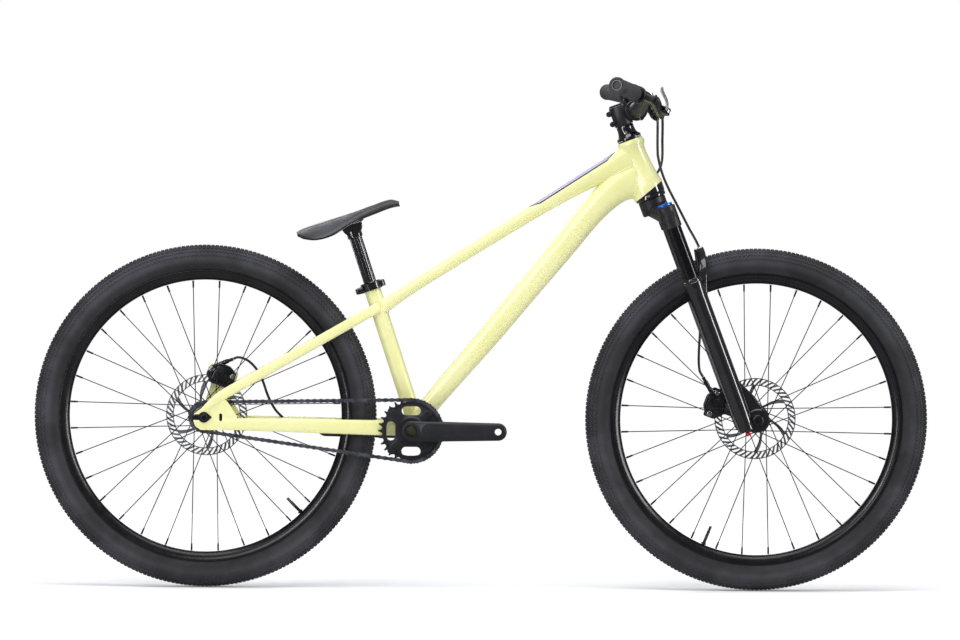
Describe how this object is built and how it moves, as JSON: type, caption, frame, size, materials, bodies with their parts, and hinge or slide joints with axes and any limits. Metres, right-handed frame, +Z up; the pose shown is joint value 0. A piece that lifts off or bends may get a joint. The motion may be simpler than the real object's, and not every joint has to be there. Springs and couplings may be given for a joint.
{
  "type": "dirt_jump_bike",
  "caption": "Rigid dirt jump bike in pale yellow with a sprung fork, wide bar, low padded saddle, spoked wheels, disc brakes and a chain drive.",
  "frame": {"origin": "the centre of the bottom bracket, on the bike's middle plane", "axes": "+X forward along the bike, +Y to the rider's left, +Z up"},
  "size_m": [1.7532, 0.7478, 1.0002],
  "materials": {
    "frame_paint": "gloss",
    "fork_paint": "gloss",
    "black_metal": "satin",
    "bare_steel": "brushed",
    "chain_steel": "oiled",
    "tyre_rubber": "matte",
    "grip_rubber": "matte",
    "saddle_cover": "satin",
    "black_plastic": "satin",
    "blue_metal": "anodised",
    "red_metal": "anodised"
  },
  "bodies": {
    "frame": {"head_tube": "frame_paint", "top_tube": "frame_paint", "down_tube": "frame_paint", "seat_tube": "frame_paint", "bottom_bracket_shell": "frame_paint", "chainstay_left": "frame_paint", "chainstay_right": "frame_paint", "seatstay_left": "frame_paint", "seatstay_right": "frame_paint", "dropout_left": "frame_paint", "dropout_right": "frame_paint", "bottom_cup_left": "black_metal", "bottom_cup_right": "black_metal", "seat_collar": "black_metal", "headset_lower_cup": "black_metal", "headset_upper_cup": "black_metal", "rear_axle": "black_metal", "rear_caliper": "black_metal", "rear_hose": "black_plastic", "chain": "chain_steel"},
    "steering": {"headset_cover": "black_metal", "stem": "black_metal", "stem_faceplate": "black_metal", "stem_top_cap": "black_metal", "handlebar": "black_metal", "grip_left": "grip_rubber", "grip_right": "grip_rubber", "lever_body_left": "black_metal", "lever_body_right": "black_metal", "fork_crown": "black_metal", "stanchion_left": "black_metal", "stanchion_right": "black_metal", "rear_hose_front": "black_plastic", "front_hose": "black_plastic"},
    "lowers": {"fork_lowers": "fork_paint", "front_axle": "black_metal", "front_caliper": "black_metal"},
    "front_wheel": {"front_tyre": "tyre_rubber", "front_rim": "black_metal", "front_hub_spokes": "black_metal", "front_rotor": "bare_steel"},
    "rear_wheel": {"rear_tyre": "tyre_rubber", "rear_rim": "black_metal", "rear_hub_spokes": "black_metal", "rear_rotor": "bare_steel"},
    "crank": {"crank_spindle": "bare_steel", "crank_arm_right": "black_metal", "crank_arm_left": "black_metal", "chainring": "black_metal"},
    "freewheel": {"freewheel_cog": "chain_steel"},
    "seat": {"seatpost": "black_metal", "saddle_pad": "saddle_cover", "saddle_shell": "black_plastic", "saddle_bolt": "black_metal"},
    "brake_lever_left": {"lever_blade_left": "bare_steel"},
    "brake_lever_right": {"lever_blade_right": "bare_steel"},
    "lockout": {"lockout_knob": "blue_metal"},
    "rebound": {"rebound_knob": "red_metal"}
  },
  "joints": [
    {"name": "steer", "type": "hinge", "parent": "frame", "child": "steering", "pos_m": [0.46763, 0, 0.45696], "axis": [-0.3518, 0, 0.9361], "range_deg": [-80, 80], "deforming": ["rear_hose_front"]},
    {"name": "fork_travel", "type": "slide", "parent": "steering", "child": "lowers", "axis": [-0.3518, 0, 0.9361], "range_m": [0, 0.1], "stiffness_N_per_m": 7000, "springref_m": -0.02, "deforming": ["front_hose"]},
    {"name": "front_wheel_turn", "type": "hinge", "parent": "lowers", "child": "front_wheel", "pos_m": [0.677, 0, 0.025], "axis": [0, 1, 0], "continuous": true},
    {"name": "rear_wheel_turn", "type": "hinge", "parent": "frame", "child": "rear_wheel", "pos_m": [-0.4042, 0, 0.025], "axis": [0, 1, 0], "continuous": true},
    {"name": "crank_turn", "type": "hinge", "parent": "frame", "child": "crank", "pos_m": [0, 0, 0], "axis": [0, 1, 0], "continuous": true, "deforming": ["chain"]},
    {"name": "freewheel_turn", "type": "hinge", "parent": "frame", "child": "freewheel", "pos_m": [-0.4042, 0, 0.025], "axis": [0, 1, 0], "continuous": true, "deforming": ["chain"]},
    {"name": "seat_height", "type": "slide", "parent": "frame", "child": "seat", "axis": [-0.314, 0, 0.9494], "range_m": [-0.07, 0.03]},
    {"name": "brake_pull_left", "type": "hinge", "parent": "steering", "child": "brake_lever_left", "pos_m": [0.48947, 0.18052, 0.626], "axis": [0.3269, -0.2996, 0.8963], "range_deg": [0, 13], "stiffness_Nm_per_rad": 1.5, "springref_deg": -8.02},
    {"name": "brake_pull_right", "type": "hinge", "parent": "steering", "child": "brake_lever_right", "pos_m": [0.48947, -0.18052, 0.626], "axis": [-0.3269, -0.2996, -0.8963], "range_deg": [0, 13], "stiffness_Nm_per_rad": 1.5, "springref_deg": -8.02},
    {"name": "lockout_turn", "type": "hinge", "parent": "steering", "child": "lockout", "pos_m": [0.49257, -0.066, 0.44176], "axis": [-0.3518, 0, 0.9361], "range_deg": [0, 90]},
    {"name": "rebound_turn", "type": "hinge", "parent": "lowers", "child": "rebound", "pos_m": [0.65688, -0.066, 0.00462], "axis": [-0.3518, 0, 0.9361], "range_deg": [-150, 150]}
  ],
  "couplings": [
    {"joint": "freewheel_turn", "follows": "crank_turn", "ratio": 2.1429}
  ]
}
